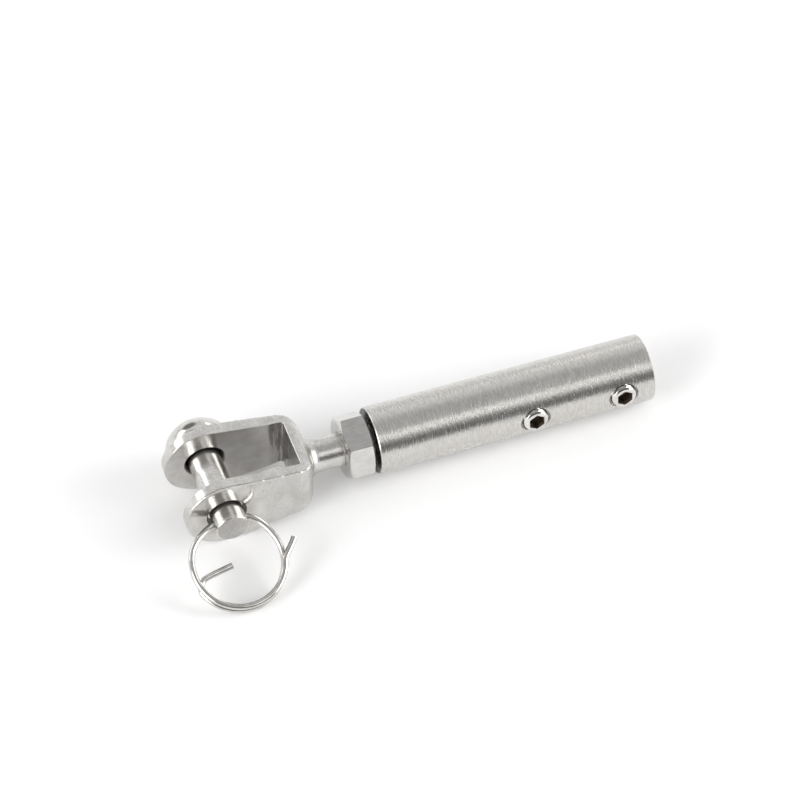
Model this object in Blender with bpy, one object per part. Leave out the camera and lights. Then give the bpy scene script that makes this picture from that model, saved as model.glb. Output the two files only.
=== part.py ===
"""Adjustable fork terminal (rigging turnbuckle) for a wire rail, M8 thread.

Metres, +Z up. The origin is the centre of the fork slot's floor, on the stud's axis,
and +X runs from the fork along the tube to its open end. The clevis pin lies along Y.
"""
import math

import bmesh
import bpy
from mathutils import Matrix, Vector

MM = 0.001

# Fork: a U-shaped jaw with a stud in one piece with it
EYE_X = -19.0            # pin axis, from the slot floor
EYE_RADIUS = 9.75        # rounded end of each ear, seen from the side
EAR_OUTER = 9.6          # half the width over the ears
EAR_INNER = 6.95         # half the slot's width at the pin
BASE_OUTER = 9.1         # half the width over the base corners
BASE_HALF_HEIGHT = 7.1   # half the base's height, the ears taper down to it
BASE_THICK = 3.5
BASE_CORNER = 5.0        # outside corner radius of the U
SWELL_INNER = 5.9        # from the axis to the near ear where it thickens
SWELL_X = (-10.6, -6.2, -4.9, -4.2)
GROOVE_INNER = 6.5       # half the slot's width in the groove at its floor
EAR_HOLE_RADIUS = 4.0
STUD_RADIUS = 3.9
STUD_END_X = 49.0
THREAD_START_X = 11.2

# Lock nut
NUT_FLATS = 14.0
NUT_THICK = 6.5
NUT_TURN = 16.5          # degrees, turn of the first corner from +Y
NUT_FACE_X = 18.4        # face towards the tube
THREAD_BORE_RADIUS = 3.98

# Tube body
TUBE_RADIUS = 8.0
TUBE_START_X = 19.3
TUBE_LENGTH = 68.6
TUBE_CHAMFER = 0.35
THREAD_DEPTH = 34.0
WIRE_BORE_RADIUS = 3.4

# Set screws, M6, each on a radius of the tube
SCREW_X = {"set_screw_inner": 57.7, "set_screw_outer": 79.9}
SCREW_ANGLE = 8.6        # degrees above horizontal, on the side of the pin's plain end
SCREW_RADIUS = 2.95
SCREW_HOLE_RADIUS = 3.0
SCREW_TIP = 3.6          # distance of the tip from the tube's axis
SCREW_TOP = 8.65
SOCKET_FLATS = 3.0
SOCKET_DEPTH = 2.6

# Clevis pin
PIN_RADIUS = 3.9
PIN_END_Y = -13.95
PIN_CHAMFER = 0.4
HEAD_FACE_Y = 9.9
HEAD_RADIUS = 8.25
HEAD_HEIGHT = 7.7
CROSS_HOLE_Y = -11.3
CROSS_HOLE_RADIUS = 1.0

# Ring cotter, one wire bent through a little more than a turn
WIRE_RADIUS = 0.75
RING_RADIUS = 10.75      # to the middle of the wire
RING_DROP = 10.1         # from the cross hole down to the ring's centre
RING_SHIFT = -1.1        # the centre's offset along the cross hole
RING_TILT = 25.0         # degrees, the ring's plane below horizontal
RING_LAYER = 1.65        # spacing of the overlapping turns


def clear_scene():
    for obj in list(bpy.data.objects):
        bpy.data.objects.remove(obj, do_unlink=True)


def steel(name, shade, roughness):
    mat = bpy.data.materials.new(name)
    mat.use_nodes = True
    bsdf = mat.node_tree.nodes["Principled BSDF"]
    bsdf.inputs["Base Color"].default_value = (*shade, 1.0)
    bsdf.inputs["Metallic"].default_value = 1.0
    bsdf.inputs["Roughness"].default_value = roughness
    return mat


def add_mesh(name, bm, origin, material=None):
    """Turn a bmesh in world millimetres into an object in metres with its origin placed."""
    base = Vector(origin)
    bmesh.ops.remove_doubles(bm, verts=bm.verts, dist=1e-5)
    bmesh.ops.recalc_face_normals(bm, faces=bm.faces)
    bmesh.ops.translate(bm, verts=bm.verts, vec=-base)
    bmesh.ops.scale(bm, verts=bm.verts, vec=(MM, MM, MM))
    mesh = bpy.data.meshes.new(name)
    bm.to_mesh(mesh)
    bm.free()
    mesh.shade_smooth()
    mesh.set_sharp_from_angle(angle=math.radians(35))
    obj = bpy.data.objects.new(name, mesh)
    obj.location = base * MM
    bpy.context.collection.objects.link(obj)
    if material:
        mesh.materials.append(material)
    return obj


def make_cutter(obj):
    obj.hide_render = True
    obj.display_type = "WIRE"
    return obj


def boolean(obj, other, operation="DIFFERENCE"):
    mod = obj.modifiers.new(other.name, "BOOLEAN")
    mod.solver = "EXACT"
    mod.operation = operation
    mod.object = other


def prism(outline, low, high, axis):
    """Extrude a closed 2-D outline: axis 'Z' takes (x, y) pairs, 'Y' (x, z), 'X' (y, z)."""
    place = {"Z": lambda u, v: (u, v, low), "Y": lambda u, v: (u, low, v),
             "X": lambda u, v: (low, u, v)}[axis]
    step = Vector([high - low if name == axis else 0.0 for name in "XYZ"])
    bm = bmesh.new()
    face = bm.faces.new([bm.verts.new(place(u, v)) for u, v in outline])
    side = bmesh.ops.extrude_face_region(bm, geom=[face], use_keep_orig=True)
    moved = [item for item in side["geom"] if isinstance(item, bmesh.types.BMVert)]
    bmesh.ops.translate(bm, verts=moved, vec=step)
    return bm


def lathe(profile, place, segments):
    """Spin (along, radius) pairs about local Z; place is the matrix into the world."""
    bm = bmesh.new()
    points = [bm.verts.new((radius, 0, along)) for along, radius in profile]
    edges = [bm.edges.new(pair) for pair in zip(points, points[1:])]
    if profile[0][1] > 0:
        edges.append(bm.edges.new((points[-1], points[0])))
    bmesh.ops.spin(bm, geom=points + edges, cent=(0, 0, 0), axis=(0, 0, 1), angle=2 * math.pi,
                   steps=segments, use_merge=True)
    bmesh.ops.transform(bm, matrix=place, verts=bm.verts)
    return bm


def along_x(x=0.0):
    return Matrix.Translation((x, 0, 0)) @ Matrix.Rotation(math.radians(90), 4, "Y")


def along_y(x=0.0):
    return Matrix.Translation((x, 0, 0)) @ Matrix.Rotation(math.radians(-90), 4, "X")


def arc(cx, cy, radius, start, end, steps):
    angles = [math.radians(start + (end - start) * k / steps) for k in range(steps + 1)]
    return [(cx + radius * math.cos(a), cy + radius * math.sin(a)) for a in angles]


def fork_plan():
    """The U seen from above: outside right round, then back along the slot."""
    tip = EYE_X - EYE_RADIUS - 0.5
    back = BASE_THICK
    corner = arc(back - BASE_CORNER, BASE_OUTER - BASE_CORNER, BASE_CORNER, 90, 0, 8)
    upper = [(tip, EAR_OUTER), (EYE_X + 6.0, EAR_OUTER)] + corner
    lower = [(x, -y) for x, y in reversed(upper)]
    near = [(tip, EAR_INNER), (SWELL_X[0], EAR_INNER - 0.15), (SWELL_X[1], SWELL_INNER),
            (SWELL_X[2], SWELL_INNER), (SWELL_X[3], GROOVE_INNER), (-0.5, GROOVE_INNER),
            (0.0, GROOVE_INNER - 0.5)]
    far = [(0.0, GROOVE_INNER - 0.5), (-0.5, GROOVE_INNER), (SWELL_X[3] + 1.6, GROOVE_INNER),
           (SWELL_X[3] + 1.2, GROOVE_INNER - 0.15), (tip, EAR_INNER)]
    inner = [(x, -y) for x, y in near] + far
    return upper + lower + inner


def fork_side():
    """The ears seen from the side: a round eye, tapering back to the base."""
    lean = math.degrees(math.asin((EYE_RADIUS - BASE_HALF_HEIGHT) / -EYE_X))
    eye = arc(EYE_X, 0.0, EYE_RADIUS, 90 - lean, 270 + lean, 36)
    back = BASE_THICK + 0.05
    corner = arc(back - 3.0, -BASE_HALF_HEIGHT + 3.0, 3.0, -90, 0, 6)
    return eye + corner + [(x, -z) for x, z in reversed(corner)]


def build_fork():
    material = steel("fork_steel", (0.60, 0.59, 0.57), 0.28)
    bm = prism(fork_plan(), -11.0, 11.0, "Z")
    fork = add_mesh("fork", bm, (0, 0, 0), material)
    bm = prism(fork_side(), -12.0, 12.0, "Y")
    boolean(fork, make_cutter(add_mesh("fork_side_tool", bm, (0, 0, 0))), "INTERSECT")
    bm = lathe([(-12, 0), (-12, EAR_HOLE_RADIUS), (12, EAR_HOLE_RADIUS), (12, 0)],
                         along_y(EYE_X), 48)
    boolean(fork, make_cutter(add_mesh("ear_hole_tool", bm, (EYE_X, 0, 0))))
    profile = [(0.6, 0), (0.6, 5.9), (2.7, 5.9), (3.3, 5.4), (4.0, 4.7), (4.9, 4.15), (6.3, STUD_RADIUS),
               (THREAD_START_X, STUD_RADIUS), (STUD_END_X - 0.9, STUD_RADIUS),
               (STUD_END_X, STUD_RADIUS - 0.9), (STUD_END_X, 0)]
    bm = lathe(profile, along_x(), 48)
    boolean(fork, make_cutter(add_mesh("stud_tool", bm, (0, 0, 0))), "UNION")


def build_lock_nut():
    material = steel("nut_steel", (0.66, 0.65, 0.64), 0.22)
    start = NUT_FACE_X - NUT_THICK
    corner = NUT_FLATS / math.sqrt(3)
    hexagon = [(corner * math.cos(math.radians(60 * k + NUT_TURN)),
                corner * math.sin(math.radians(60 * k + NUT_TURN))) for k in range(6)]
    bm = prism(hexagon, start, NUT_FACE_X, "X")
    nut = add_mesh("lock_nut", bm, ((start + NUT_FACE_X) / 2, 0, 0), material)
    rise = 0.62
    cone = [(start, THREAD_BORE_RADIUS + 0.35), (start, NUT_FLATS / 2 - 0.15),
            (start + rise, corner + 0.05), (NUT_FACE_X - rise, corner + 0.05),
            (NUT_FACE_X, NUT_FLATS / 2 - 0.15), (NUT_FACE_X, THREAD_BORE_RADIUS + 0.35),
            (NUT_FACE_X - 0.4, THREAD_BORE_RADIUS), (start + 0.4, THREAD_BORE_RADIUS)]
    bm = lathe(cone, along_x(), 48)
    boolean(nut, make_cutter(add_mesh("nut_chamfer_tool", bm, (0, 0, 0))), "INTERSECT")


def screw_frame(x):
    """Local Z points out of the tube along the screw's radius."""
    tilt = math.radians(90.0 - SCREW_ANGLE)
    return Matrix.Translation((x, 0, 0)) @ Matrix.Rotation(tilt, 4, "X")


def build_tube():
    material = steel("tube_steel", (0.58, 0.57, 0.55), 0.36)
    end = TUBE_START_X + TUBE_LENGTH
    cut = TUBE_CHAMFER
    profile = [(TUBE_START_X, THREAD_BORE_RADIUS + 0.4), (TUBE_START_X, TUBE_RADIUS - cut),
               (TUBE_START_X + cut, TUBE_RADIUS), (end - cut, TUBE_RADIUS), (end, TUBE_RADIUS - cut),
               (end, WIRE_BORE_RADIUS + 0.5), (end - 0.5, WIRE_BORE_RADIUS),
               (TUBE_START_X + THREAD_DEPTH + 0.6, WIRE_BORE_RADIUS),
               (TUBE_START_X + THREAD_DEPTH, THREAD_BORE_RADIUS),
               (TUBE_START_X + 0.4, THREAD_BORE_RADIUS)]
    bm = lathe(profile, along_x(), 64)
    tube = add_mesh("tube_body", bm, (TUBE_START_X, 0, 0), material)
    hole = [(1.5, 0), (1.5, SCREW_HOLE_RADIUS), (7.35, SCREW_HOLE_RADIUS), (9.5, 4.6), (9.5, 0)]
    for name, x in SCREW_X.items():
        bm = lathe(hole, screw_frame(x), 40)
        boolean(tube, make_cutter(add_mesh(name + "_hole_tool", bm, (x, 0, 0))))


def build_set_screws():
    for name, x in SCREW_X.items():
        material = steel(name + "_steel", (0.50, 0.48, 0.45), 0.30)
        place = screw_frame(x)
        profile = [(SCREW_TIP + 0.45, 0), (SCREW_TIP, 1.2), (SCREW_TIP + 0.05, 2.2),
                   (SCREW_TIP + 0.8, SCREW_RADIUS), (SCREW_TOP - 0.45, SCREW_RADIUS),
                   (SCREW_TOP, SCREW_RADIUS - 0.5), (SCREW_TOP, 0)]
        bm = lathe(profile, place, 40)
        origin = place @ Vector((0, 0, SCREW_TOP))
        screw = add_mesh(name, bm, origin, material)
        corner = SOCKET_FLATS / math.sqrt(3)
        socket = [(SCREW_TOP - SOCKET_DEPTH - 0.5, 0), (SCREW_TOP - SOCKET_DEPTH, corner),
                  (SCREW_TOP + 0.5, corner), (SCREW_TOP + 0.5, 0)]
        bm = lathe(socket, place, 6)
        boolean(screw, make_cutter(add_mesh(name + "_socket_tool", bm, origin)))


def build_clevis_pin():
    material = steel("pin_steel", (0.62, 0.60, 0.57), 0.16)
    profile = [(PIN_END_Y, 0), (PIN_END_Y, PIN_RADIUS - PIN_CHAMFER), (PIN_END_Y + PIN_CHAMFER, PIN_RADIUS),
               (HEAD_FACE_Y, PIN_RADIUS), (HEAD_FACE_Y, HEAD_RADIUS - 0.35), (HEAD_FACE_Y + 0.3, HEAD_RADIUS)]
    steps = 9
    for k in range(1, steps + 1):
        lift = math.radians(90.0 * k / steps)
        profile.append((HEAD_FACE_Y + 0.3 + (HEAD_HEIGHT - 0.3) * math.sin(lift), HEAD_RADIUS * math.cos(lift)))
    profile[-1] = (HEAD_FACE_Y + HEAD_HEIGHT, 0)
    bm = lathe(profile, along_y(EYE_X), 48)
    pin = add_mesh("clevis_pin", bm, (EYE_X, 0, 0), material)
    place = Matrix.Translation((EYE_X, CROSS_HOLE_Y, 0)) @ Matrix.Rotation(math.radians(90), 4, "Y")
    hole = [(-6, 0), (-6, CROSS_HOLE_RADIUS), (6, CROSS_HOLE_RADIUS), (6, 0)]
    bm = lathe(hole, place, 24)
    boolean(pin, make_cutter(add_mesh("cross_hole_tool", bm, (EYE_X, CROSS_HOLE_Y, 0))))


def smooth_ramp(value):
    value = min(1.0, max(0.0, value))
    return value * value * (3 - 2 * value)


def ring_path():
    """Middle of the wire in the ring's plane: (right, down, layer) from the cross hole."""
    points = [(-2.5, 10.45, 0.0), (-4.6, 10.8, 0.0), (-7.0, 11.2, 0.0), (-9.2, 11.65, 0.0),
              (-10.6, 12.4, 0.0)]
    turn = 246.0
    while turn >= -258.0:
        angle = math.radians(turn)
        radius = RING_RADIUS + 0.3 * smooth_ramp((turn - 120.0) / 60.0)
        across = RING_SHIFT * smooth_ramp((abs(turn) - 15.0) / 50.0) + radius * math.sin(angle)
        down = RING_DROP - radius * math.cos(angle)
        if abs(turn) < 60.0:
            down = max(down, 0.0)
        points.append((across, down, RING_LAYER * smooth_ramp((-25.0 - turn) / 70.0)))
        turn -= 7.0
    points += [(10.6, 10.9, RING_LAYER), (11.9, 9.5, RING_LAYER), (12.9, 8.2, RING_LAYER)]
    return points


def build_ring_cotter():
    lean = math.radians(RING_TILT)
    down = Vector((0, -math.cos(lean), -math.sin(lean)))
    normal = Vector((0, -math.sin(lean), math.cos(lean)))
    curve = bpy.data.curves.new("ring_cotter", "CURVE")
    curve.dimensions = "3D"
    curve.bevel_depth = WIRE_RADIUS * MM
    curve.bevel_resolution = 3
    curve.use_fill_caps = True
    path = ring_path()
    spline = curve.splines.new("POLY")
    spline.points.add(len(path) - 1)
    for point, (a, b, c) in zip(spline.points, path):
        place = (Vector((a, 0, 0)) + down * b + normal * c) * MM
        point.co = (*place, 1.0)
    ring = bpy.data.objects.new("ring_cotter", curve)
    ring.location = Vector((EYE_X, CROSS_HOLE_Y, 0)) * MM
    curve.materials.append(steel("ring_steel", (0.55, 0.54, 0.52), 0.18))
    bpy.context.collection.objects.link(ring)


clear_scene()
build_fork()
build_lock_nut()
build_tube()
build_set_screws()
build_clevis_pin()
build_ring_cotter()
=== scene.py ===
"""Adjustable fork terminal for a wire rail: tube, threaded fork, lock nut, set screws, pin and ring."""
import math

import bmesh
import bpy
from mathutils import Matrix, Vector


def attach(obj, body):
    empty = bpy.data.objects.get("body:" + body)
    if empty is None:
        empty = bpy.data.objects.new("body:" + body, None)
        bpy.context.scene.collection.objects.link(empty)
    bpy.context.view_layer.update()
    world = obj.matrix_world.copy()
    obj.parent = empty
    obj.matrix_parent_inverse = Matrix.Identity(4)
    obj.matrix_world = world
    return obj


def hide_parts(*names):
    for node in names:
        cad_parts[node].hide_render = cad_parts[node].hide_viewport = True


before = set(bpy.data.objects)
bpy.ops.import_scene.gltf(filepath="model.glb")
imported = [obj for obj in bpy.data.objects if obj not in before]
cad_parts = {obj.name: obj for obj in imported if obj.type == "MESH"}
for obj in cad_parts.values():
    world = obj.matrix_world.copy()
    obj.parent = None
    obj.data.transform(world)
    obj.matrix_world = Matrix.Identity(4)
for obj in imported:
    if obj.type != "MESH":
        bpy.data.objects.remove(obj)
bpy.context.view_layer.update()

# ---------------------------------------------------------------- tube body
# A turned length of 16 mm stainless bar, bored through for the wire and tapped M8 at the
# fork's end. Two M6 holes near the open end take the set screws. The outside keeps the
# short cross-wise strokes of the belt it was finished on.

TUBE_START, TUBE_END, TUBE_RADIUS = 0.0193, 0.0879, 0.0080
TAPPED_END, TAPPED_RADIUS, WIRE_RADIUS = 0.0533, 0.00398, 0.0034
SCREW_PLACES = {"set_screw_inner": 0.0577, "set_screw_outer": 0.0799}
SCREW_LEAN = math.radians(8.6)
SCREW_HOLE, SCREW_MOUTH, SCREW_SINK = 0.0030, 0.0032, 0.0051
THREAD_LEAD = 0.0004


class Tone:
    """One value in a finish. Arithmetic on it adds Math nodes to the finish's tree."""

    def __init__(self, tree, socket=None):
        self.tree, self.socket = tree, socket

    def make(self, kind, settings=None, sockets=None, out=0):
        node = self.tree.nodes.new("ShaderNode" + kind)
        for name, value in (settings or {}).items():
            if name == "stops":
                ramp = node.color_ramp
                for place, _ in value[1:-1]:
                    ramp.elements.new(place)
                for element, (place, shade) in zip(ramp.elements, value):
                    element.position, element.color = place, (shade, shade, shade, 1.0)
            else:
                setattr(node, name, value)
        for name, value in (sockets or {}).items():
            if isinstance(value, Tone):
                self.tree.links.new(value.socket, node.inputs[name])
            else:
                node.inputs[name].default_value = value
        return Tone(self.tree, node.outputs[out])

    def math(self, operation, first, second=0.0):
        return self.make("Math", {"operation": operation}, {0: first, 1: second})

    def __add__(self, other):
        return self.math("ADD", self, other)

    def __sub__(self, other):
        return self.math("SUBTRACT", self, other)

    def __rsub__(self, other):
        return self.math("SUBTRACT", other, self)

    def __mul__(self, other):
        return self.math("MULTIPLY", self, other)

    __radd__, __rmul__ = __add__, __mul__

    def ramp(self, low, high, to_low=0.0, to_high=1.0):
        return self.make("MapRange", {"interpolation_type": "SMOOTHSTEP"},
                         {"Value": self, "From Min": low, "From Max": high,
                          "To Min": to_low, "To Max": to_high})


def start_finish(name):
    """A metal material, with its tree's Tone maker and its object coordinates."""
    finish = bpy.data.materials.new(name)
    finish.use_nodes = True
    maker = Tone(finish.node_tree)
    finish.node_tree.nodes["Principled BSDF"].inputs["Metallic"].default_value = 1.0
    return finish, maker, maker.make("TexCoord", out="Object")


def grain(maker, place, scale, stretch=(1.0, 1.0, 1.0), turn=(0.0, 0.0, 0.0), detail=3.0, rough=0.55):
    """Noise whose cells are 1/scale metres wide, drawn out along the axes with a small stretch."""
    spot = maker.make("Mapping", {}, {"Vector": place, "Rotation": turn, "Scale": stretch})
    return maker.make("TexNoise", {}, {"Vector": spot, "Scale": scale, "Detail": detail,
                                       "Roughness": rough}, out="Fac")


def blend_colours(maker, amount, first, second):
    """Go from the first colour to the second; each is red, green and blue, or a Tone."""
    first, second = (end if isinstance(end, Tone) else (*end, 1.0) for end in (first, second))
    return maker.make("Mix", {"data_type": "RGBA"}, {0: amount, 6: first, 7: second}, out=2)


def close_finish(finish, colour, roughness, height, depth):
    """Feed the shader: colour, roughness and a bump whose depth is in metres."""
    tree = finish.node_tree
    shader = tree.nodes["Principled BSDF"]
    maker = Tone(tree)
    tree.links.new(colour.socket, shader.inputs["Base Color"])
    tree.links.new(roughness.socket, shader.inputs["Roughness"])
    bump = maker.make("Bump", {}, {"Strength": 1.0, "Distance": depth, "Height": height})
    tree.links.new(bump.socket, shader.inputs["Normal"])
    return finish


def tube_finish():
    """Belt strokes across the tube, leaning both ways; the end face by the nut is painted near-black, a
    painted shade of the gap to the nut.
    """
    finish, maker, place = start_finish("ground_tube_steel")
    strokes = grain(maker, place, 1000.0, (3.0, 0.60, 0.60), (0.0, 0.10, 0.28), 2.0, 0.5)
    strokes_back = grain(maker, place, 1250.0, (2.8, 0.5, 0.5), (0.0, 0.20, -0.26), 2.0, 0.5)
    cloud = grain(maker, place, 160.0, (0.8, 1.0, 1.0), detail=2.0)
    mixed = strokes * 0.6 + strokes_back * 0.4
    bare = blend_colours(maker, mixed.ramp(0.38, 0.62), (0.55, 0.535, 0.51), (0.655, 0.64, 0.615))
    along = maker.make("SeparateXYZ", {}, {0: place}, out="X")
    # Painted shade: the end face in the narrow gap to the nut is coloured near-black to stand for its
    # shadow.
    gap_shade = 1.0 - along.ramp(TUBE_START + 0.00002, TUBE_START + 0.00008)
    colour = blend_colours(maker, gap_shade, bare, (0.05, 0.045, 0.04))
    roughness = 0.19 + 0.05 * cloud + 0.10 * mixed
    return close_finish(finish, colour, roughness, mixed, 0.00010)


def turned(outline, steps):
    """Spin (along, radius) pairs in metres about the X axis into a closed skin.

    A straight run of more than 3 mm gets a ring close to each end, so its shading stays straight.
    """
    rings = [outline[0]]
    for (x0, r0), (x1, r1) in zip(outline, outline[1:]):
        run = math.hypot(x1 - x0, r1 - r0)
        if run > 0.003:
            close = 0.0002 / run
            rings += [(x0 + (x1 - x0) * part, r0 + (r1 - r0) * part) for part in (close, 1 - close)]
        rings.append((x1, r1))
    bm = bmesh.new()
    points = [bm.verts.new((along, 0.0, radius)) for along, radius in rings]
    edges = [bm.edges.new(pair) for pair in zip(points, points[1:])]
    if rings[0][1] > 0.0:
        edges.append(bm.edges.new((points[-1], points[0])))
    bmesh.ops.spin(bm, geom=points + edges, cent=(0, 0, 0), axis=(1, 0, 0), angle=2 * math.pi,
                   steps=steps, use_merge=True)
    bmesh.ops.remove_doubles(bm, verts=bm.verts, dist=1e-7)
    bmesh.ops.recalc_face_normals(bm, faces=bm.faces)
    return bm


def screw_axis(x):
    """Carries a shape turned about X onto a set screw's own axis, out of the tube."""
    out = Matrix.Rotation(math.radians(90.0) - SCREW_LEAN, 4, "X")
    return Matrix.Translation((x, 0, 0)) @ out @ Matrix.Rotation(math.radians(-90.0), 4, "Y")


def tool(bm, matrix=None):
    """A cutting shape, used once and then removed."""
    if matrix:
        bmesh.ops.transform(bm, matrix=matrix, verts=bm.verts)
        bmesh.ops.recalc_face_normals(bm, faces=bm.faces)
    mesh = bpy.data.meshes.new("tool")
    bm.to_mesh(mesh)
    bm.free()
    obj = bpy.data.objects.new("tool", mesh)
    bpy.context.collection.objects.link(obj)
    return obj


def piece(name, bm, body, nodes, finishes, cuts=(), keeps=(), sharp=30.0, wear=0.0):
    """Shape the piece and fix it to its body.

    It is trimmed to the keeps, the cuts are taken out and leave the second finish if there is
    one, and sharp edges are cut back by the wear.
    """
    obj = tool(bm)
    obj.name = obj.data.name = name
    for finish in finishes:
        obj.data.materials.append(finish)
    for operation, tools in (("INTERSECT", keeps), ("DIFFERENCE", cuts)):
        for other in tools:
            step = obj.modifiers.new("shape", "BOOLEAN")
            step.operation, step.solver, step.object = operation, "EXACT", other
            if len(finishes) > 1 and operation == "DIFFERENCE":
                for finish in finishes:
                    other.data.materials.append(finish)
                other.data.polygons.foreach_set("material_index", [1] * len(other.data.polygons))
    if obj.modifiers:
        ready = obj.evaluated_get(bpy.context.evaluated_depsgraph_get())
        mesh = bpy.data.meshes.new_from_object(ready)
        obj.modifiers.clear()
        obj.data = mesh
    for other in (*cuts, *keeps):
        bpy.data.objects.remove(other, do_unlink=True)
    if wear:
        bm = bmesh.new()
        bm.from_mesh(obj.data)
        bmesh.ops.remove_doubles(bm, verts=bm.verts, dist=wear * 0.3)
        arris = [e for e in bm.edges if len(e.link_faces) == 2 and e.calc_face_angle(0.0) > 0.9]
        bmesh.ops.bevel(bm, geom=arris, offset=wear, offset_type="OFFSET", affect="EDGES", segments=1,
                        profile=0.5, material=-1, clamp_overlap=False)
        bm.to_mesh(obj.data)
        bm.free()
    obj.data.shade_smooth()
    obj.data.set_sharp_from_angle(angle=math.radians(sharp))
    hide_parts(*nodes)
    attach(obj, body)
    return obj


tube_outline = [(TUBE_START, TAPPED_RADIUS + THREAD_LEAD), (TUBE_START, TUBE_RADIUS - 0.00025),
                (TUBE_START + 0.00025, TUBE_RADIUS), (TUBE_END - 0.00015, TUBE_RADIUS),
                (TUBE_END, TUBE_RADIUS - 0.00015), (TUBE_END, WIRE_RADIUS + 0.0005),
                (TUBE_END - 0.0005, WIRE_RADIUS), (TAPPED_END + 0.0006, WIRE_RADIUS),
                (TAPPED_END, TAPPED_RADIUS), (TUBE_START + THREAD_LEAD, TAPPED_RADIUS)]
screw_hole = [(0.0015, 0.0), (0.0015, SCREW_HOLE), (0.0060, SCREW_HOLE), (0.0062, SCREW_MOUTH),
              (0.0073, SCREW_MOUTH), (0.0096, SCREW_SINK), (0.0096, 0.0)]
piece("tube", turned(tube_outline, 240), "tube", ["tube_body"], [tube_finish()],
      cuts=[tool(turned(screw_hole, 64), screw_axis(x)) for x in SCREW_PLACES.values()])

# ---------------------------------------------------------------- fork
# A cast stainless jaw with its stud in one piece: two ears, a base with a filleted neck,
# a plain shank and an M8 thread. Its outside is tumbled and polished, so every outer edge
# is rounded; the slot and the pin's holes are cut afterwards and their edges barely broken.

EYE_X, EYE_RADIUS = -0.0190, 0.00974
EAR_OUTER, EAR_INNER, BASE_OUTER = 0.0096, 0.00697, 0.0091
EAR_HOLE, EAR_CHAMFER = 0.0045, 0.0049
SWELL_INNER, GROOVE_INNER = 0.0059, 0.0065
BASE_HALF_HEIGHT, BASE_BACK, BASE_CORNER, BASE_EDGE = 0.0071, 0.0035, 0.0050, 0.0030
STUD_RADIUS, THREAD_START, STUD_END = 0.0039, 0.0115, 0.0490
THREAD_DEPTH, PITCH = 0.00072, 0.00125
PLAN_REACH, THROUGH = 0.0110, 0.0120


def slab(outline, low, high, axis):
    """A closed outline of (x, y) or (x, z) pairs, pushed out along Z or Y."""
    bm = bmesh.new()
    points = [bm.verts.new((u, v, low) if axis == "Z" else (u, low, v)) for u, v in outline]
    face = bm.faces.new(points)
    pushed = bmesh.ops.extrude_face_region(bm, geom=[face], use_keep_orig=True)
    moved = [item for item in pushed["geom"] if isinstance(item, bmesh.types.BMVert)]
    bmesh.ops.translate(bm, verts=moved, vec=(0, 0, high - low) if axis == "Z" else (0, high - low, 0))
    bmesh.ops.recalc_face_normals(bm, faces=bm.faces)
    return bm


def thread(start, end, radius, depth, pitch, steps=48):
    """A threaded rod about X: one tooth wound up the rod, cut square and capped."""
    bm = bmesh.new()
    turns = math.ceil((end - start) / pitch) + 2
    first = start - 1.5 * pitch
    tooth = [(0.0, radius - depth), (0.06, radius - depth), (0.44, radius - 0.02 * depth),
             (0.56, radius), (0.62, radius - 0.02 * depth), (1.0, radius - depth)]
    points = [bm.verts.new((first + along * pitch, 0.0, out)) for along, out in tooth]
    edges = [bm.edges.new(pair) for pair in zip(points, points[1:])]
    bmesh.ops.spin(bm, geom=points + edges, cent=(0, 0, 0), axis=(1, 0, 0), dvec=(pitch / steps, 0, 0),
                   angle=2 * math.pi * turns, steps=steps * turns, use_merge=False)
    bmesh.ops.remove_doubles(bm, verts=bm.verts, dist=pitch * 0.004)
    for place, way in ((start, -1), (end, 1)):
        every = bm.verts[:] + bm.edges[:] + bm.faces[:]
        bmesh.ops.bisect_plane(bm, geom=every, plane_co=(place, 0, 0), plane_no=(way, 0, 0),
                               clear_outer=True)
        rim = [e for e in bm.edges if e.is_boundary and all(abs(v.co.x - place) < 1e-6 for v in e.verts)]
        bmesh.ops.edgeloop_fill(bm, edges=rim)
    bmesh.ops.recalc_face_normals(bm, faces=bm.faces)
    return bm


def from_pin(maker, place):
    """Distance from the middle line of the ears' holes."""
    spread = maker.make("Mapping", {}, {"Vector": place, "Location": (-EYE_X, 0.0, 0.0),
                                        "Scale": (1.0, 0.0, 1.0)})
    return maker.make("VectorMath", {"operation": "LENGTH"}, {0: spread}, out="Value")


def fork_finish():
    """Tumbled steel with a few pits: brightest round the eye, where a patchy brown painted reflection
    darkens it too.
    """
    finish, maker, place = start_finish("tumbled_fork_steel")
    blotch = grain(maker, place, 240.0, detail=4.0)
    fine = grain(maker, place, 2200.0, detail=4.0, rough=0.65)
    pits = maker.make("TexVoronoi", {"feature": "F1"}, {"Vector": place, "Scale": 420.0}, out="Distance")
    chosen = grain(maker, place, 330.0, detail=1.0)
    pit = (1.0 - pits.ramp(0.03, 0.13)) * chosen.ramp(0.51, 0.58)
    reach = from_pin(maker, place)
    away = reach.ramp(0.0085, 0.0125)
    # Painted reflection: patchy brown darkening in a ring round the eye stands for the pin mirrored in the
    # polished face.
    painted_reflection = (1.0 - reach.ramp(0.0050, 0.0080)) * blotch.ramp(0.35, 0.60)
    shank = maker.make("SeparateXYZ", {}, {0: place}, out="X").ramp(0.0055, 0.0075)
    bare = blend_colours(maker, (blotch * 0.5 + fine * 0.5).ramp(0.36, 0.64) * (1.0 - pit),
                         (0.53, 0.515, 0.49), (0.69, 0.68, 0.66))
    colour = blend_colours(maker, 0.5 * painted_reflection, bare, (0.30, 0.27, 0.235))
    roughness = 0.09 + 0.06 * blotch + 0.04 * fine + 0.12 * away + 0.3 * pit
    height = blotch * 0.2 + fine * (0.12 + 0.2 * away + 0.5 * shank) - 0.8 * pit
    return close_finish(finish, colour, roughness, height, 0.00005)


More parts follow.
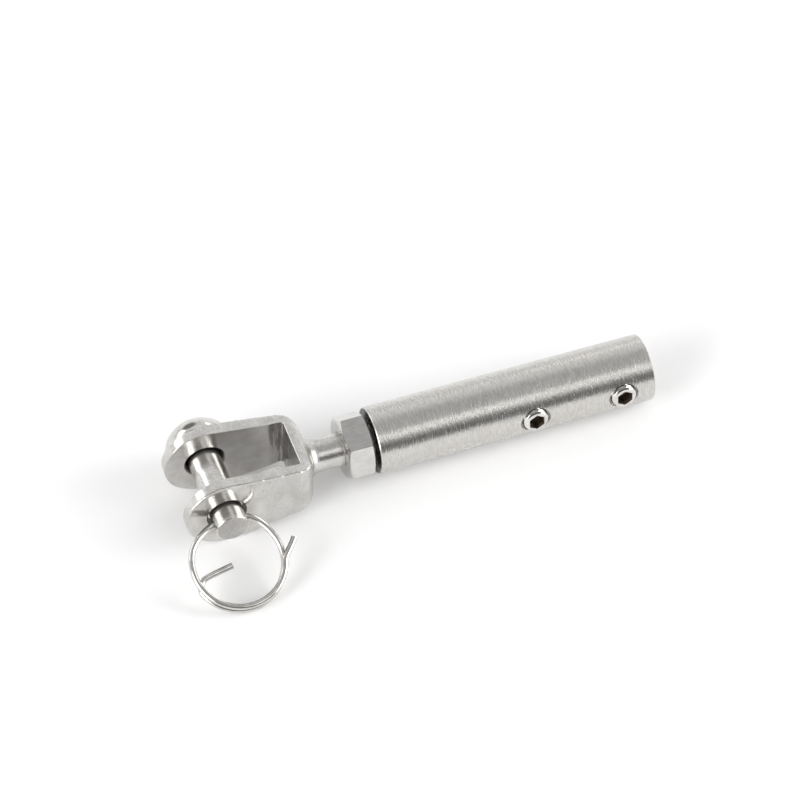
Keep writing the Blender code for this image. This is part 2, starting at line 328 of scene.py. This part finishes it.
def slot_finish():
    """Fine cutter marks, with painted shade in streaks by the slot's floor and painted black shade in the
    holes.
    """
    finish, maker, place = start_finish("cut_slot_steel")
    marks = grain(maker, place, 1500.0, (3.0, 1.0, 0.3), detail=3.0, rough=0.6)
    cloud = grain(maker, place, 300.0, detail=3.0)
    streaks = grain(maker, place, 1500.0, (1.0, 1.0, 0.12), detail=2.0)
    corner = maker.make("SeparateXYZ", {}, {0: place}, out="X").ramp(-0.0042, -0.0005)
    hole = 1.0 - from_pin(maker, place).ramp(0.0047, 0.0050)
    # Painted shade: streaks darken the corner by the slot's floor and the pin's holes go near-black to
    # stand for the shade there; the same mask also makes these places rougher.
    painted_shade = corner * (0.35 + 0.65 * streaks.ramp(0.40, 0.60)) + 1.5 * hole
    bare = blend_colours(maker, cloud.ramp(0.3, 0.7), (0.56, 0.54, 0.52), (0.68, 0.67, 0.65))
    colour = blend_colours(maker, 0.6 * painted_shade, bare, (0.10, 0.09, 0.08))
    roughness = 0.10 + 0.10 * marks + 0.10 * cloud + 0.15 * painted_shade
    return close_finish(finish, colour, roughness, marks, 0.000015)


def fillet(cx, cr, radius, start, end, steps):
    """Points of an arc for an outline, with its angles in degrees."""
    angles = [math.radians(start + (end - start) * k / steps) for k in range(steps + 1)]
    return [(cx + radius * math.cos(a), cr + radius * math.sin(a)) for a in angles]


def fork_outer():
    """The jaw's outer form before the slot is cut, blended and rounded like tumbled steel."""
    tip = EYE_X - EYE_RADIUS - 0.0005
    corner = fillet(BASE_BACK - BASE_CORNER, BASE_OUTER - BASE_CORNER, BASE_CORNER, 90, 0, 12)
    upper = [(tip, EAR_OUTER), (EYE_X + 0.0060, EAR_OUTER)] + corner
    plan = slab(upper + [(x, -y) for x, y in reversed(upper)], -PLAN_REACH, PLAN_REACH, "Z")
    lean = math.degrees(math.asin((EYE_RADIUS - BASE_HALF_HEIGHT) / -EYE_X))
    eye = fillet(EYE_X, 0.0, EYE_RADIUS, 90 - lean, 270 + lean, 64)
    lower = fillet(BASE_BACK - BASE_EDGE, BASE_EDGE - BASE_HALF_HEIGHT, BASE_EDGE, -90, 0, 12)
    side = slab(eye + lower + [(x, -z) for x, z in reversed(lower)], -THROUGH, THROUGH, "Y")
    neck = [(0.0006, 0.0), (0.0006, 0.0056), (0.0028, 0.0057), (0.0033, 0.0053), (0.0040, 0.0046),
            (0.0049, 0.0041), (0.0058, 0.00393), (0.0070, STUD_RADIUS), (0.0125, STUD_RADIUS),
            (0.0125, 0.0)]
    obj = tool(plan)
    for operation, other in (("INTERSECT", tool(side)), ("UNION", tool(turned(neck, 96)))):
        step = obj.modifiers.new("shape", "BOOLEAN")
        step.operation, step.solver, step.object = operation, "EXACT", other
    skin = obj.modifiers.new("skin", "REMESH")
    skin.mode, skin.voxel_size, skin.use_smooth_shade = "VOXEL", 0.00022, True
    rub = obj.modifiers.new("rub", "SMOOTH")
    rub.factor, rub.iterations = 0.5, 6
    mesh = bpy.data.meshes.new_from_object(obj.evaluated_get(bpy.context.evaluated_depsgraph_get()))
    for step in list(obj.modifiers):
        if step.type == "BOOLEAN":
            bpy.data.objects.remove(step.object, do_unlink=True)
    bpy.data.objects.remove(obj, do_unlink=True)
    bm = bmesh.new()
    bm.from_mesh(mesh)
    return bm


def slot_tool():
    """The slot: a milled gap that narrows at a swelling of the near ear, and its groove."""
    tip = EYE_X - EYE_RADIUS - 0.002
    floor_inner = GROOVE_INNER - 0.0005
    near = [(tip, EAR_INNER), (-0.0106, 0.0068), (-0.0085, 0.00645), (-0.0070, 0.0061),
            (-0.0060, SWELL_INNER), (-0.0050, 0.00588), (-0.0046, 0.0061), (-0.0043, GROOVE_INNER),
            (-0.0005, GROOVE_INNER), (0.0, floor_inner)]
    far = [(0.0, floor_inner), (-0.0005, GROOVE_INNER), (-0.0024, GROOVE_INNER), (-0.0034, 0.00638),
           (-0.0044, 0.0064), (tip, EAR_INNER)]
    bm = slab([(x, -y) for x, y in near] + far, -THROUGH, THROUGH, "Z")
    upright = [e for e in bm.edges if abs(e.verts[0].co.z - e.verts[1].co.z) > 0.01
               and abs(e.verts[0].co.x) < 0.0007]
    bmesh.ops.bevel(bm, geom=upright, offset=0.00015, offset_type="OFFSET", affect="EDGES", segments=2,
                    profile=0.5, material=-1)
    return bm


across = Matrix.Translation((EYE_X, 0, 0)) @ Matrix.Rotation(math.radians(90), 4, "Z")
half_hole = [(0.0069, EAR_CHAMFER), (0.0073, EAR_HOLE), (0.0092, EAR_HOLE), (EAR_OUTER, EAR_CHAMFER),
             (THROUGH, EAR_CHAMFER), (THROUGH, 0.0)]
ear_hole = [(-along, radius) for along, radius in reversed(half_hole)] + half_hole
stud = thread(THREAD_START, STUD_END, STUD_RADIUS, THREAD_DEPTH, PITCH)
stud_tip = turned([(0.0105, 0.0), (0.0105, 0.0036), (0.0120, 0.0045), (STUD_END - 0.0012, 0.0045),
                   (STUD_END, 0.0030), (STUD_END + 0.001, 0.0)], 64)
fork_steel = fork_finish()
piece("fork_jaw", fork_outer(), "jaw", ["fork"], [fork_steel, slot_finish()],
      cuts=[tool(slot_tool()), tool(turned(ear_hole, 96), across)], wear=0.00009)
piece("fork_thread", stud, "jaw", ["fork"], [fork_steel], keeps=[tool(stud_tip)], sharp=45.0)

# ---------------------------------------------------------------- lock nut
# A stainless M8 hexagon nut, chamfered on both faces and barrel-finished to a soft satin.
# It is run up the stud to jam against the tube's end, and stands just off it here.

NUT_START, NUT_END, NUT_FLATS, NUT_MOUTH = 0.0119, 0.0184, 0.0140, 0.00435
NUT_TURN = math.radians(16.5)


def nut_finish():
    """Satin steel, rubbed dull round the edge that jams; the jamming face is painted near-black, a painted
    shade of the gap to the tube.
    """
    finish, maker, place = start_finish("satin_nut_steel")
    cloud = grain(maker, place, 260.0, detail=3.0)
    fine = grain(maker, place, 3000.0, detail=2.0)
    drawn = grain(maker, place, 700.0, (0.5, 3.0, 3.0), detail=3.0)
    bare = blend_colours(maker, (cloud * 0.6 + drawn * 0.4).ramp(0.35, 0.65), (0.58, 0.57, 0.55),
                         (0.68, 0.67, 0.65))
    along = maker.make("SeparateXYZ", {}, {0: place}, out="X")
    # Painted shade: the face in the narrow gap to the tube is coloured near-black to stand for its shadow.
    gap_shade = along.ramp(NUT_END - 0.00008, NUT_END - 0.00003)
    colour = blend_colours(maker, gap_shade, bare, (0.05, 0.045, 0.04))
    rubbed = along.ramp(NUT_END - 0.00036, NUT_END - 0.00028)
    roughness = 0.11 + 0.06 * cloud + 0.05 * drawn + 0.4 * rubbed
    return close_finish(finish, colour, roughness, fine * 0.5 + drawn * 0.5, 0.000014)


def nut_hexagon():
    """The bar the nut is cut from, with its corner nearest +Y turned up to where it stopped."""
    corner = NUT_FLATS / math.sqrt(3)
    bm = bmesh.new()
    bmesh.ops.create_cone(bm, cap_ends=True, segments=6, radius1=corner, radius2=corner,
                          depth=NUT_END - NUT_START)
    middle = Matrix.Translation(((NUT_START + NUT_END) / 2, 0, 0))
    stand = middle @ Matrix.Rotation(math.radians(90), 4, "Y")
    bmesh.ops.transform(bm, matrix=stand, verts=bm.verts)
    first = max(bm.verts, key=lambda v: v.co.y + 0.001 * v.co.z).co
    turn = NUT_TURN - math.atan2(first.z, first.y)
    bmesh.ops.rotate(bm, verts=bm.verts, cent=(0, 0, 0), matrix=Matrix.Rotation(turn, 3, "X"))
    along = [e for e in bm.edges if abs(e.verts[0].co.x - e.verts[1].co.x) > 0.001]
    bmesh.ops.bevel(bm, geom=along, offset=0.00012, offset_type="OFFSET", affect="EDGES", segments=3,
                    profile=0.5, material=-1)
    return bm


corner, rise, face = NUT_FLATS / math.sqrt(3), 0.00062, NUT_FLATS / 2 - 0.00015
nut_skin = [(NUT_START, NUT_MOUTH), (NUT_START, face - 0.0001), (NUT_START + 0.00004, face),
            (NUT_START + rise, corner), (NUT_END - rise, corner), (NUT_END - 0.00030, face + 0.00005),
            (NUT_END, face - 0.00020), (NUT_END, NUT_MOUTH), (NUT_END - THREAD_LEAD, TAPPED_RADIUS),
            (NUT_START + THREAD_LEAD, TAPPED_RADIUS)]
piece("lock_nut_hex", nut_hexagon(), "nut", ["lock_nut"], [nut_finish()],
      keeps=[tool(turned(nut_skin, 192))], sharp=18.0)

# ---------------------------------------------------------------- set screws
# Two M6 stainless set screws with hexagon sockets and cup points, screwed through the side
# of the tube onto the wire. They stand a little more than half a millimetre proud of it.

SCREW_TIP, SCREW_TOP, SCREW_RADIUS = 0.0036, 0.00865, 0.00295
SCREW_DEPTH, SCREW_PITCH = 0.00055, 0.0010
KEY_CORNER, KEY_LENGTH = 0.00210, 0.0036


def screw_finish():
    finish, maker, place = start_finish("bright_screw_steel")
    fine = grain(maker, place, 2400.0, detail=3.0)
    cloud = grain(maker, place, 600.0, detail=2.0)
    colour = blend_colours(maker, cloud.ramp(0.3, 0.7), (0.64, 0.625, 0.60), (0.78, 0.77, 0.75))
    return close_finish(finish, colour, 0.10 + 0.08 * cloud + 0.04 * fine, fine, 0.000012)


def socket_finish():
    finish, maker, place = start_finish("dark_socket_steel")
    cloud = grain(maker, place, 900.0, detail=3.0)
    # The inside of the hex socket is coloured dark brown, darker in patches.
    colour = blend_colours(maker, cloud.ramp(0.3, 0.75), (0.10, 0.08, 0.06), (0.34, 0.28, 0.22))
    return close_finish(finish, colour, 0.42 + 0.2 * cloud, cloud, 0.00003)


screw_finishes = [screw_finish(), socket_finish()]
for name, x in SCREW_PLACES.items():
    envelope = [(SCREW_TIP + 0.0005, 0.0), (SCREW_TIP, 0.0011), (SCREW_TIP, 0.0021),
                (SCREW_TIP + 0.0009, 0.0030), (SCREW_TOP - 0.00028, 0.0030), (SCREW_TOP - 0.00005, 0.00265),
                (SCREW_TOP, 0.0025), (SCREW_TOP, 0.0)]
    rod = thread(SCREW_TIP, SCREW_TOP, SCREW_RADIUS, SCREW_DEPTH, SCREW_PITCH, 40)
    bmesh.ops.transform(rod, matrix=screw_axis(x), verts=rod.verts)
    key = bmesh.new()
    bmesh.ops.create_cone(key, cap_ends=True, segments=6, radius1=KEY_CORNER, radius2=KEY_CORNER,
                          depth=KEY_LENGTH)
    bmesh.ops.transform(key, matrix=Matrix.Translation((SCREW_TOP - 0.0008, 0, 0))
                        @ Matrix.Rotation(math.radians(90), 4, "Y"), verts=key.verts)
    piece(name + "_m6", rod, name.replace("set_", ""), [name], screw_finishes,
          keeps=[tool(turned(envelope, 64), screw_axis(x))], cuts=[tool(key, screw_axis(x))], sharp=35.0)

# ---------------------------------------------------------------- clevis pin
# A turned stainless pin with a domed head on the far ear and a small chamfer on its plain
# end. A cross hole near that end takes the ring. It drops loosely through both ears.

PIN_RADIUS, PIN_END = 0.0039, -0.01395
HEAD_FACE, HEAD_RADIUS, HEAD_HEIGHT = 0.0099, 0.00825, 0.0077
CROSS_HOLE_Y, CROSS_HOLE = -0.0113, 0.0010
DOME_STEPS = 24


def pin_finish():
    """A polished dome, a shaft with faint turning rings and a plain sawn end."""
    finish, maker, place = start_finish("turned_pin_steel")
    rings = grain(maker, place, 1100.0, (0.3, 4.0, 0.3), detail=3.0)
    cloud = grain(maker, place, 380.0, detail=3.0)
    fine = grain(maker, place, 2600.0, detail=3.0, rough=0.65)
    along = maker.make("SeparateXYZ", {}, {0: place}, out="Y")
    sawn = 1.0 - along.ramp(PIN_END + 0.00001, PIN_END + 0.00008)
    mottle = (cloud * 0.5 + fine * 0.5).ramp(0.38, 0.62)
    bare = blend_colours(maker, mottle, (0.54, 0.525, 0.50), (0.70, 0.69, 0.67))
    end = blend_colours(maker, mottle, (0.47, 0.455, 0.44), (0.58, 0.57, 0.55))
    colour = blend_colours(maker, sawn, bare, end)
    shaft = 1.0 - along.ramp(HEAD_FACE - 0.0001, HEAD_FACE + 0.0001)
    roughness = 0.05 + 0.06 * cloud + 0.04 * rings + 0.15 * shaft + 0.04 * sawn
    height = rings * 0.5 + cloud * 0.3 + fine * (0.2 + 0.3 * shaft)
    return close_finish(finish, colour, roughness, height, 0.00002)


pin_outline = [(PIN_END, 0.0), (PIN_END, PIN_RADIUS - 0.00045)]
pin_outline += fillet(PIN_END + 0.0004, PIN_RADIUS - 0.0004, 0.0004, 180, 90, 4)[1:]
pin_outline += [(HEAD_FACE, PIN_RADIUS), (HEAD_FACE, HEAD_RADIUS - 0.0005)]
pin_outline += fillet(HEAD_FACE + 0.0004, HEAD_RADIUS - 0.0004, 0.0004, 180, 90, 4)[1:]
for k in range(1, DOME_STEPS + 1):
    lift = math.radians(90.0 * k / DOME_STEPS)
    pin_outline.append((HEAD_FACE + 0.0004 + (HEAD_HEIGHT - 0.0004) * math.sin(lift),
                        HEAD_RADIUS * math.cos(lift) if k < DOME_STEPS else 0.0))
pin = turned(pin_outline, 128)
bmesh.ops.transform(pin, matrix=across, verts=pin.verts)
bmesh.ops.recalc_face_normals(pin, faces=pin.faces)
cross_hole = [(-0.006, 0.0), (-0.006, CROSS_HOLE), (0.006, CROSS_HOLE), (0.006, 0.0)]
piece("clevis_pin_domed", pin, "pin", ["clevis_pin"], [pin_finish()],
      cuts=[tool(turned(cross_hole, 32), Matrix.Translation((EYE_X, CROSS_HOLE_Y, 0)))])

# ---------------------------------------------------------------- ring cotter
# One length of bright 1.5 mm stainless spring wire, bent through a little more than a turn.
# Its inner end is turned in across the ring and its outer end is flared out, to be pulled.

RING_RADIUS, RING_DROP, RING_SHIFT = 0.01075, 0.0101, -0.0011
RING_TILT, RING_LAYER, RING_WIRE = math.radians(25.0), 0.00165, 0.00075


def ring_finish():
    finish, maker, place = start_finish("drawn_ring_wire")
    drawn = grain(maker, place, 1500.0, detail=2.0)
    cloud = grain(maker, place, 500.0, detail=2.0)
    colour = blend_colours(maker, cloud.ramp(0.3, 0.7), (0.56, 0.545, 0.52), (0.68, 0.665, 0.64))
    return close_finish(finish, colour, 0.06 + 0.06 * cloud + 0.04 * drawn, drawn, 0.000008)


def eased(value):
    value = min(1.0, max(0.0, value))
    return value * value * (3 - 2 * value)


def ring_route():
    """The wire's middle line in the ring's plane: (right, down, layer) from the cross hole."""
    points = [(-0.0025, 0.01045, 0.0), (-0.0046, 0.0108, 0.0), (-0.0070, 0.0112, 0.0),
              (-0.0092, 0.01165, 0.0), (-0.0106, 0.0124, 0.0)]
    turn = 246.0
    while turn >= -258.0:
        angle = math.radians(turn)
        radius = RING_RADIUS + 0.0003 * eased((turn - 120.0) / 60.0)
        right = RING_SHIFT * eased((abs(turn) - 15.0) / 50.0) + radius * math.sin(angle)
        down = RING_DROP - radius * math.cos(angle)
        if abs(turn) < 60.0:
            down = max(down, 0.0)
        points.append((right, down, RING_LAYER * eased((-25.0 - turn) / 70.0)))
        turn -= 7.0
    flare = [(0.0106, 0.0109), (0.0119, 0.0095), (0.0129, 0.0082)]
    return points + [(right, down, RING_LAYER) for right, down in flare]


down = Vector((0, -math.cos(RING_TILT), -math.sin(RING_TILT)))
lift = Vector((0, -math.sin(RING_TILT), math.cos(RING_TILT)))
hole = Vector((EYE_X, CROSS_HOLE_Y, 0))
route = [hole + Vector((a, 0, 0)) + down * b + lift * c for a, b, c in ring_route()]
wire = bpy.data.curves.new("ring_wire", "CURVE")
wire.dimensions, wire.bevel_depth, wire.bevel_resolution, wire.use_fill_caps = "3D", RING_WIRE, 5, True
wire.resolution_u = 6
spline = wire.splines.new("NURBS")
spline.points.add(len(route) - 1)
for point, place in zip(spline.points, route):
    point.co = (*place, 1.0)
spline.order_u, spline.use_endpoint_u = 3, True
draft = bpy.data.objects.new("ring_draft", wire)
bpy.context.collection.objects.link(draft)
bm = bmesh.new()
bm.from_mesh(bpy.data.meshes.new_from_object(draft.evaluated_get(bpy.context.evaluated_depsgraph_get())))
bpy.data.objects.remove(draft, do_unlink=True)
bmesh.ops.remove_doubles(bm, verts=bm.verts, dist=1e-7)
bmesh.ops.recalc_face_normals(bm, faces=bm.faces)
piece("ring_cotter_wire", bm, "ring", ["ring_cotter"], [ring_finish()], sharp=50.0)

# ---------------------------------------------------------------- floor, light and camera
# The terminal lies on a white sheet: the ears and the tube's open end touch it, so the
# sheet leans by a degree. A softbox stands behind on each side and a lamp in front, in a
# pale room that is dim only low in front.

sheet = bmesh.new()
bmesh.ops.create_grid(sheet, x_segments=1, y_segments=1, size=3.0)
slope = math.atan2(EYE_RADIUS - TUBE_RADIUS, TUBE_END - EYE_X)
bmesh.ops.transform(sheet, matrix=Matrix.Translation((EYE_X, 0, -EYE_RADIUS - 0.0001))
                    @ Matrix.Rotation(-slope, 4, "Y"), verts=sheet.verts)
floor = tool(sheet)
floor.name = "white_sheet"
paper = bpy.data.materials.new("white_paper")
paper.use_nodes = True
paper.node_tree.nodes["Principled BSDF"].inputs["Base Color"].default_value = (0.93, 0.93, 0.93, 1.0)
paper.node_tree.nodes["Principled BSDF"].inputs["Roughness"].default_value = 0.9
floor.data.materials.append(paper)


def soft_light(name, place, aim, width, height, power):
    lamp = bpy.data.lights.new(name, "AREA")
    lamp.shape, lamp.size, lamp.size_y, lamp.energy = "RECTANGLE", width, height, power
    obj = bpy.data.objects.new(name, lamp)
    obj.location = place
    obj.rotation_euler = (Vector(aim) - Vector(place)).to_track_quat("-Z", "Y").to_euler()
    bpy.context.collection.objects.link(obj)


soft_light("left_softbox", (-0.60, 0.68, 0.37), (0.02, 0, 0), 0.52, 0.32, 1.0)
soft_light("right_softbox", (0.50, 0.77, 0.38), (0.0, 0, 0), 0.18, 0.15, 0.14)
soft_light("front_lamp", (0.27, -0.62, 0.77), (0.03, 0, 0), 0.30, 0.40, 0.46)

# The room: each stop is how far over from the front, through overhead, to the back, and how
# bright it is there. A card dims one patch behind, and both sides in front are lit up.
world = bpy.data.worlds.new("studio")
world.use_nodes = True
air = Tone(world.node_tree)
gaze = air.make("TexCoord", out="Generated")
side = air.math("ABSOLUTE", air.make("SeparateXYZ", {}, {0: gaze}, out="X")).ramp(0.60, 0.82)
front = 0.0 - air.make("SeparateXYZ", {}, {0: gaze}, out="Y")
angle = air.math("ARCTAN2", air.make("SeparateXYZ", {}, {0: gaze}, out="Z"), front) * (1.0 / math.pi)
ROOM = [(0.0, 0.75), (0.02, 0.40), (0.045, 0.08), (0.14, 0.10), (0.20, 0.45), (0.42, 0.52), (0.58, 0.52),
        (0.70, 0.86), (1.0, 0.98)]
shade = air.make("ValToRGB", {"stops": ROOM}, {"Fac": angle})
card = air.make("VectorMath", {"operation": "DOT_PRODUCT"}, {0: gaze, 1: (-0.12, 0.92, 0.37)}, out="Value")
grey = air.make("RGBToBW", {}, {0: shade}) * (1.0 - 0.75 * card.ramp(0.955, 0.98))
grey = grey + 6.4 * side * front.ramp(-0.20, 0.25)
world.node_tree.links.new(grey.socket, world.node_tree.nodes["Background"].inputs["Color"])
world.node_tree.nodes["Background"].inputs["Strength"].default_value = 1.0
bpy.context.scene.world = world
bpy.context.scene.view_settings.view_transform = "Standard"

# The camera looks down from the front left through a long lens.
right = Vector((0.93947, -0.34202, 0.02031))
up = Vector((0.25298, 0.73242, 0.63211))
lens = bpy.data.cameras.new("camera")
lens.lens, lens.sensor_width, lens.clip_start = 173.94, 36.0, 0.01
camera = bpy.data.objects.new("camera", lens)
turn = Matrix((right, up, right.cross(up))).transposed().to_4x4()
camera.matrix_world = Matrix.Translation((-0.179886, -0.525655, 0.703790)) @ turn
bpy.context.collection.objects.link(camera)
bpy.context.scene.camera = camera
